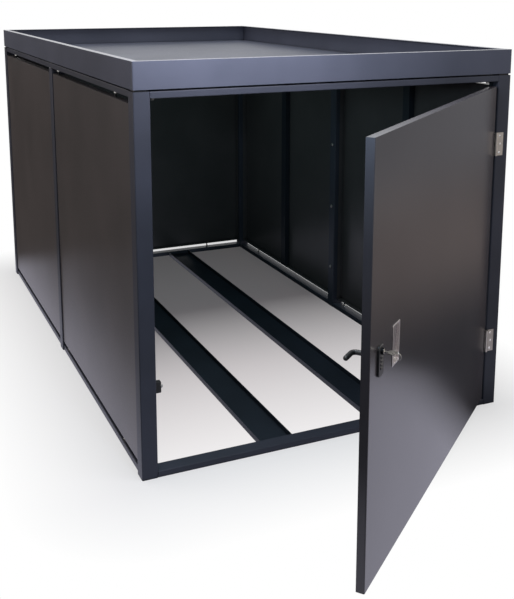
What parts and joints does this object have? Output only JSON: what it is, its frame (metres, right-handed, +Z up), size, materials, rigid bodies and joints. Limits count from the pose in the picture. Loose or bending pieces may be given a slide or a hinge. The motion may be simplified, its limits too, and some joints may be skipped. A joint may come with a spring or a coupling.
{
  "type": "bike shelter",
  "caption": "Low steel bike shelter with slotted sheet walls on posts, a planting-tray roof, wheel channels on the ground and a lockable hinged door standing ajar.",
  "frame": {"origin": "on the ground, in the middle of the front sill's underside", "axes": "+X to the right seen from the front, +Y from the sill towards the rear wall, +Z up"},
  "size_m": [1.3, 3.0002, 1.25],
  "materials": {
    "coat_frame": "satin anthracite powder coat",
    "coat_panel": "satin anthracite powder coat",
    "coat_inside": "satin anthracite powder coat",
    "hinge_steel": "satin",
    "stainless": "brushed",
    "lock_steel": "satin black",
    "key_nickel": "nickel plated",
    "black_plastic": "fine matt black",
    "rubber_pad": "matt black"
  },
  "bodies": {
    "frame": {"post_front_left": "coat_frame", "post_front_right": "coat_frame", "post_mid_left": "coat_frame", "post_mid_right": "coat_frame", "post_rear_left": "coat_frame", "post_rear_right": "coat_frame", "sill": "coat_frame", "rail_rear": "coat_frame", "rail_left_front": "coat_frame", "rail_left_rear": "coat_frame", "rail_right_front": "coat_frame", "rail_right_rear": "coat_frame", "header_front": "coat_frame", "header_rear": "coat_frame", "header_left": "coat_frame", "header_right": "coat_frame", "panel_left_front": "coat_panel", "panel_left_rear": "coat_panel", "panel_right_front": "coat_panel", "panel_right_rear": "coat_panel", "panel_rear": "coat_panel", "panel_stiffeners": "coat_inside", "panel_pins": "hinge_steel", "tray_bearers": "coat_inside", "tray_pads": "rubber_pad", "planting_tray": "coat_panel", "wheel_channel_left": "coat_inside", "wheel_channel_right": "coat_inside", "door_stop": "rubber_pad", "header_brackets": "coat_inside", "hinge_upper_post_leaf": "hinge_steel", "hinge_lower_post_leaf": "hinge_steel", "hinge_upper_pin": "hinge_steel", "hinge_lower_pin": "hinge_steel"},
    "door": {"hinge_upper_door_leaf": "hinge_steel", "hinge_lower_door_leaf": "hinge_steel", "door_leaf": "coat_panel", "door_stiffener": "coat_inside", "lock_case": "lock_steel", "escutcheon": "black_plastic", "lock_cylinder": "lock_steel", "flush_pull": "stainless"},
    "lever": {"lever": "black_plastic"},
    "key": {"key": "key_nickel"}
  },
  "joints": [
    {"name": "door_hinge", "type": "hinge", "parent": "frame", "child": "door", "pos_m": [0.5975, -0.0304, 0.5955], "axis": [0, 0, 1], "range_deg": [-39, 71]},
    {"name": "lever_turn", "type": "hinge", "parent": "door", "child": "lever", "pos_m": [-0.29364, -0.71678, 0.6045], "axis": [0.6293, -0.7771, 0], "range_deg": [0, 40], "stiffness_Nm_per_rad": 0.4, "springref_deg": -17.19},
    {"name": "key_turn", "type": "hinge", "parent": "door", "child": "key", "pos_m": [-0.2798, -0.73387, 0.6195], "axis": [0.6293, -0.7771, 0], "range_deg": [0, 90]}
  ]
}
